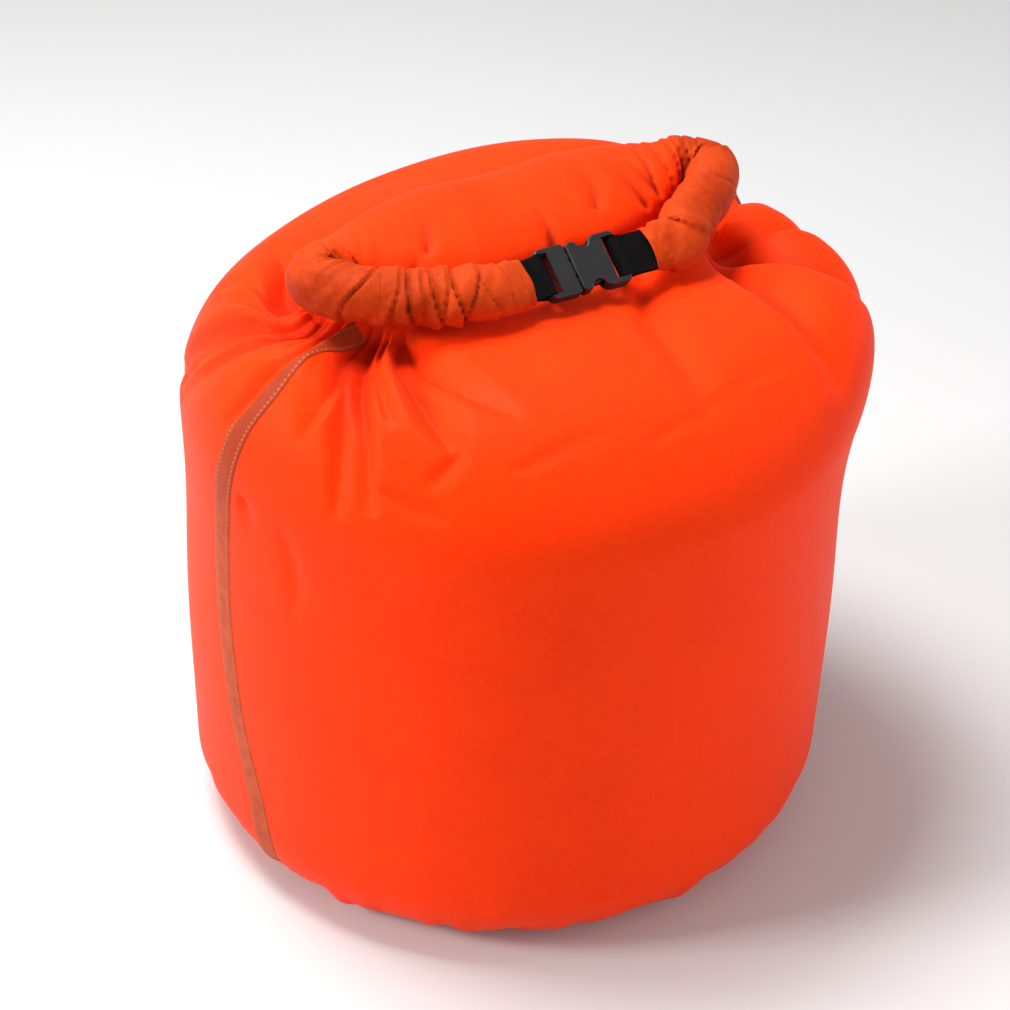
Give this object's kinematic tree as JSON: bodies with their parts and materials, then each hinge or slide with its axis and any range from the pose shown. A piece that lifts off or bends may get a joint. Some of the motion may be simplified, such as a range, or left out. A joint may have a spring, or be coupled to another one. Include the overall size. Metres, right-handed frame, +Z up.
{
  "type": "dry bag",
  "caption": "Round-bottomed roll-top dry bag in coated fabric, filled, with its rolled mouth bent into a carrying loop and held by a side-release buckle.",
  "frame": {"origin": "on the resting face, at the middle of the round bottom", "axes": "+Z up out of the bottom, -Y out of the front where the buckle is, X along the rolled mouth with +X towards the buckle's socket"},
  "size_m": [0.3323, 0.3281, 0.3318],
  "materials": {
    "coated_fabric": "coated ripstop nylon, soft sheen",
    "seam_strip": "felled seam with two rows of stitching",
    "sealing_tape": "translucent welded tape",
    "rolled_fabric": "coated ripstop nylon, creased",
    "stiffener_plastic": "plain extruded strip",
    "webbing": "woven polyester webbing",
    "thread": "dense zigzag stitching",
    "moulded_plastic": "fine satin moulded acetal"
  },
  "bodies": {
    "bag": {"front_panel": "coated_fabric", "back_panel": "coated_fabric", "bottom_panel": "coated_fabric", "left_side_seam": "seam_strip", "right_side_seam": "seam_strip", "left_seam_tape": "sealing_tape", "right_seam_tape": "sealing_tape", "bottom_seam_tape": "sealing_tape"},
    "closure": {"roll_middle": "rolled_fabric", "roll_left_bend": "rolled_fabric", "roll_right_bend": "rolled_fabric", "roll_left_end": "rolled_fabric", "roll_right_end": "rolled_fabric", "front_stiffener": "stiffener_plastic", "back_stiffener": "stiffener_plastic", "right_webbing": "webbing", "right_bar_tack": "thread", "buckle_socket": "moulded_plastic"},
    "plug": {"buckle_plug": "moulded_plastic", "left_webbing": "webbing", "left_bar_tack": "thread"},
    "upper_prong": {"prong_upper": "moulded_plastic"},
    "lower_prong": {"prong_lower": "moulded_plastic"}
  },
  "joints": [
    {"name": "closure_tilt", "type": "hinge", "parent": "bag", "child": "closure", "pos_m": [0.009, 0.034, 0.289], "axis": [-1, 0, 0], "range_deg": [0, 65]},
    {"name": "plug_pull", "type": "slide", "parent": "closure", "child": "plug", "axis": [-1, 0, 0], "range_m": [0, 0.024], "deforming": ["roll_left_end", "prong_upper", "prong_lower"]},
    {"name": "prong_upper_press", "type": "hinge", "parent": "plug", "child": "upper_prong", "pos_m": [0.008, -0.04188, 0.308], "axis": [0, 0.6157, -0.788], "range_deg": [0, 8], "stiffness_Nm_per_rad": 0.15},
    {"name": "prong_lower_press", "type": "hinge", "parent": "plug", "child": "lower_prong", "pos_m": [0.008, -0.05212, 0.3], "axis": [0, 0.6157, -0.788], "range_deg": [-8, 0], "stiffness_Nm_per_rad": 0.15}
  ],
  "couplings": [
    {"joint": "prong_lower_press", "follows": "prong_upper_press", "ratio": -1}
  ]
}
